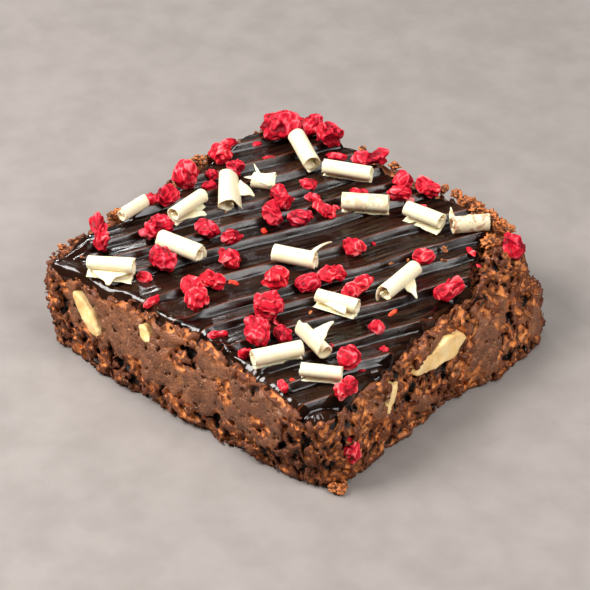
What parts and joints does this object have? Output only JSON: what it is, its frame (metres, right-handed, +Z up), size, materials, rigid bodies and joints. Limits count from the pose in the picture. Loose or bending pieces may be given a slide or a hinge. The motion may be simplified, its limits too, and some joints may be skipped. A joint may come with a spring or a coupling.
{
  "type": "chocolate brownie",
  "caption": "Square chocolate brownie with craggy cut sides, combed dark icing, white chocolate curls, white chunks and freeze-dried raspberry pieces.",
  "frame": {"origin": "middle of the box round the whole brownie, on the surface it stands on", "axes": "+X along the front cut side, +Y towards the back, +Z up through the icing"},
  "size_m": [0.0918, 0.0884, 0.0303],
  "materials": {
    "cake": "open baked chocolate crumb",
    "icing": "combed dark chocolate, half gloss",
    "curl": "satin white chocolate",
    "chunk": "baked white chocolate",
    "raspberry": "dry wrinkled fruit"
  },
  "bodies": {
    "root": {"brownie_cake": "cake", "chocolate_icing": "icing", "raspberry_01": "raspberry", "raspberry_02": "raspberry", "raspberry_03": "raspberry", "raspberry_04": "raspberry", "raspberry_05": "raspberry", "raspberry_06": "raspberry", "raspberry_07": "raspberry", "raspberry_08": "raspberry", "raspberry_09": "raspberry", "raspberry_10": "raspberry", "raspberry_11": "raspberry", "raspberry_12": "raspberry", "raspberry_13": "raspberry", "raspberry_14": "raspberry", "raspberry_15": "raspberry", "raspberry_16": "raspberry", "raspberry_17": "raspberry", "raspberry_18": "raspberry", "raspberry_19": "raspberry", "raspberry_20": "raspberry", "raspberry_21": "raspberry", "raspberry_22": "raspberry", "raspberry_23": "raspberry", "raspberry_24": "raspberry", "raspberry_25": "raspberry", "raspberry_26": "raspberry", "raspberry_27": "raspberry", "raspberry_28": "raspberry", "raspberry_29": "raspberry", "raspberry_30": "raspberry", "raspberry_31": "raspberry", "raspberry_32": "raspberry", "raspberry_33": "raspberry", "raspberry_34": "raspberry", "raspberry_35": "raspberry", "white_chunk_1": "chunk", "white_chunk_2": "chunk", "white_chunk_3": "chunk", "white_chunk_4": "chunk", "white_chunk_5": "chunk", "white_chunk_6": "chunk", "white_curl_01": "curl", "white_curl_02": "curl", "white_curl_03": "curl", "white_curl_04": "curl", "white_curl_05": "curl", "white_curl_06": "curl", "white_curl_07": "curl", "white_curl_08": "curl", "white_curl_09": "curl", "white_curl_10": "curl", "white_curl_11": "curl", "white_curl_12": "curl", "white_curl_13": "curl", "white_curl_14": "curl", "white_curl_15": "curl", "white_curl_16": "curl", "white_curl_17": "curl"}
  },
  "joints": []
}
